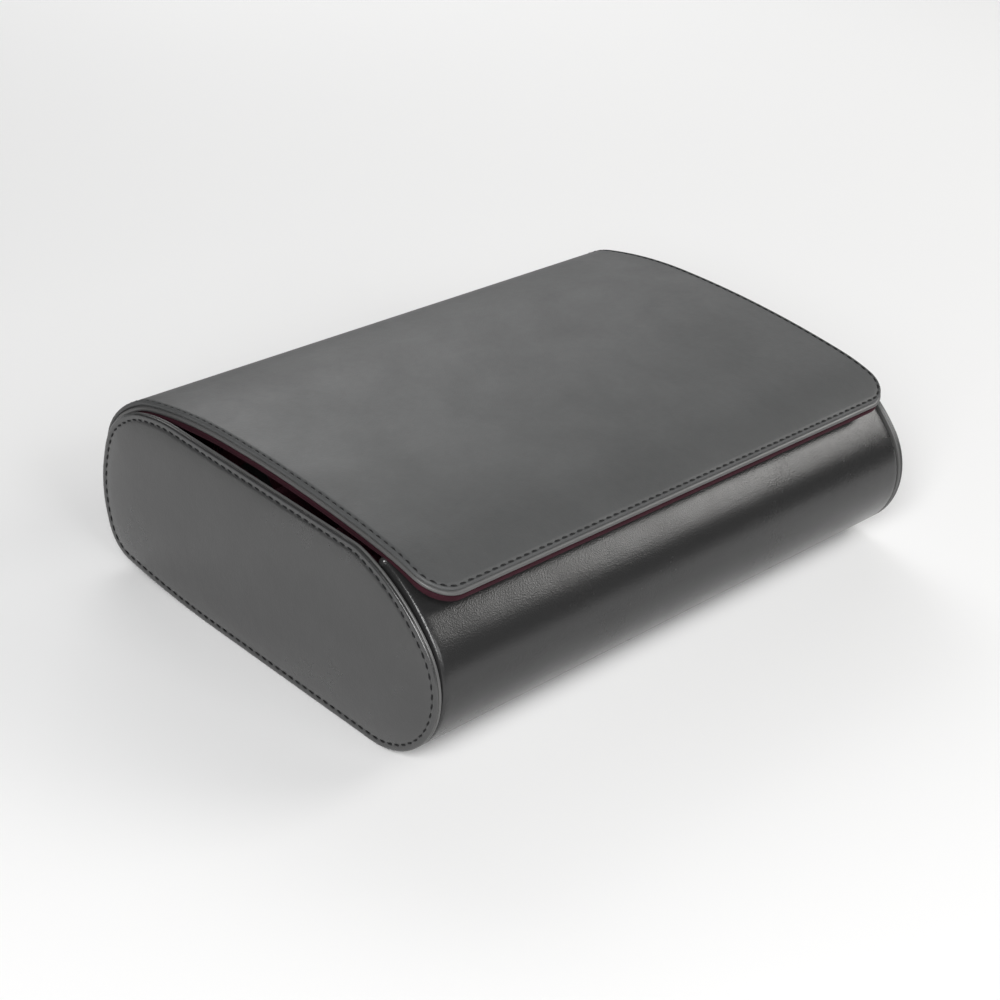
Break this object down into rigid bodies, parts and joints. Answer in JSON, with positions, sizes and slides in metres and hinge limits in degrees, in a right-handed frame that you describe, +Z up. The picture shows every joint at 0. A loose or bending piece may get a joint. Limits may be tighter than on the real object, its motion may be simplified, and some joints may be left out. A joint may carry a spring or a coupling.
{
  "type": "watch winder box",
  "caption": "Low rounded leather case with a wrap-over flap hinged at the back; inside, watch cushions turned by a belt drive and bays of storage pillows.",
  "frame": {"origin": "centre of the bottom of the bounding box, on the surface the case stands on", "axes": "+X along the length of the case to its right-hand end panel, +Y to the back where the flap is hinged, -Y to the front, +Z up"},
  "size_m": [0.28, 0.2, 0.0844],
  "materials": {
    "grey_leather": "satin",
    "leather_edge": "satin",
    "board": "matte",
    "suede": "matte",
    "cushion_suede": "matte",
    "lined_wood": "suede covered",
    "black_plastic": "matte",
    "gloss_black_plastic": "gloss",
    "white_plastic": "matte",
    "lens": "gloss",
    "board_green": "satin",
    "steel": "brushed",
    "nickel": "bright",
    "bronze": "satin",
    "belt_rubber": "matte",
    "cell_jacket": "satin",
    "knob_metal": "satin"
  },
  "bodies": {
    "case": {"batteries": "cell_jacket", "battery_box": "black_plastic", "battery_contacts": "nickel", "battery_top_plate": "black_plastic", "bay_dividers": "lined_wood", "bearing_blocks": "lined_wood", "circuit_board": "board_green", "cover_screws": "steel", "cross_dividers": "lined_wood", "drive_belt": "belt_rubber", "drive_cover": "black_plastic", "drive_housing": "black_plastic", "front_bolster": "suede", "front_edge_binding": "grey_leather", "gear_motor": "steel", "hinge_leather": "grey_leather", "hinge_lining": "suede", "idler_springs": "steel", "indicator_lens": "lens", "left_end_board": "leather_edge", "left_end_panel_inner": "leather_edge", "left_end_panel_outer": "grey_leather", "left_side_liner": "suede", "left_storage_pillows": "cushion_suede", "motor_bracket": "steel", "power_switch_base": "black_plastic", "rear_bolster": "suede", "right_end_board": "leather_edge", "right_end_panel_inner": "leather_edge", "right_end_panel_outer": "grey_leather", "right_side_liner": "suede", "right_storage_pillows": "cushion_suede", "selector_body": "black_plastic", "shaft_bushes": "bronze", "tray_floor": "suede", "wall_magnets": "nickel", "wrap_board": "board", "wrap_leather": "grey_leather", "wrap_lining": "suede"},
    "flap": {"flap_leather": "grey_leather", "flap_backing": "leather_edge", "flap_lining": "suede", "flap_magnets": "nickel"},
    "rotors": {"drive_shaft": "steel", "rotor_pulley": "white_plastic", "left_drive_hub": "black_plastic", "right_drive_hub": "black_plastic", "left_cushion_core": "black_plastic", "right_cushion_core": "black_plastic", "left_cushion": "cushion_suede", "right_cushion": "cushion_suede"},
    "motor_spindle": {"motor_shaft": "steel", "motor_pulley": "white_plastic"},
    "power_rocker": {"power_rocker": "gloss_black_plastic"},
    "knob": {"selector_spindle": "white_plastic", "mode_knob": "knob_metal"},
    "battery_door": {"battery_door": "black_plastic"},
    "left_idler_pin": {"left_idler_pin": "nickel"},
    "right_idler_pin": {"right_idler_pin": "nickel"}
  },
  "joints": [
    {"name": "flap_hinge", "type": "hinge", "parent": "case", "child": "flap", "pos_m": [0, 0.10203, 0.0431], "axis": [-1, 0, 0], "range_deg": [0, 170], "deforming": ["hinge_leather", "hinge_lining"]},
    {"name": "rotor_spin", "type": "hinge", "parent": "case", "child": "rotors", "pos_m": [0, 0.046, 0.041], "axis": [1, 0, 0], "continuous": true},
    {"name": "motor_spin", "type": "hinge", "parent": "case", "child": "motor_spindle", "pos_m": [0, 0.024, 0.0205], "axis": [1, 0, 0], "continuous": true},
    {"name": "power_rocker_tilt", "type": "hinge", "parent": "case", "child": "power_rocker", "pos_m": [0, 0.024, 0.0671], "axis": [1, 0, 0], "range_deg": [0, 12]},
    {"name": "mode_knob_turn", "type": "hinge", "parent": "case", "child": "knob", "pos_m": [0, 0.048, 0.0716], "axis": [0, 0, 1], "range_deg": [0, 270]},
    {"name": "battery_door_slide", "type": "slide", "parent": "case", "child": "battery_door", "axis": [0, -1, 0], "range_m": [0, 0.008]},
    {"name": "left_idler_pin_pull", "type": "slide", "parent": "case", "child": "left_idler_pin", "axis": [-1, 0, 0], "range_m": [0, 0.0055], "stiffness_N_per_m": 300, "springref_m": -0.004, "deforming": ["idler_springs"]},
    {"name": "right_idler_pin_pull", "type": "slide", "parent": "case", "child": "right_idler_pin", "axis": [1, 0, 0], "range_m": [0, 0.0055], "stiffness_N_per_m": 300, "springref_m": -0.004, "deforming": ["idler_springs"]}
  ],
  "couplings": [
    {"joint": "motor_spin", "follows": "rotor_spin", "ratio": 4}
  ]
}
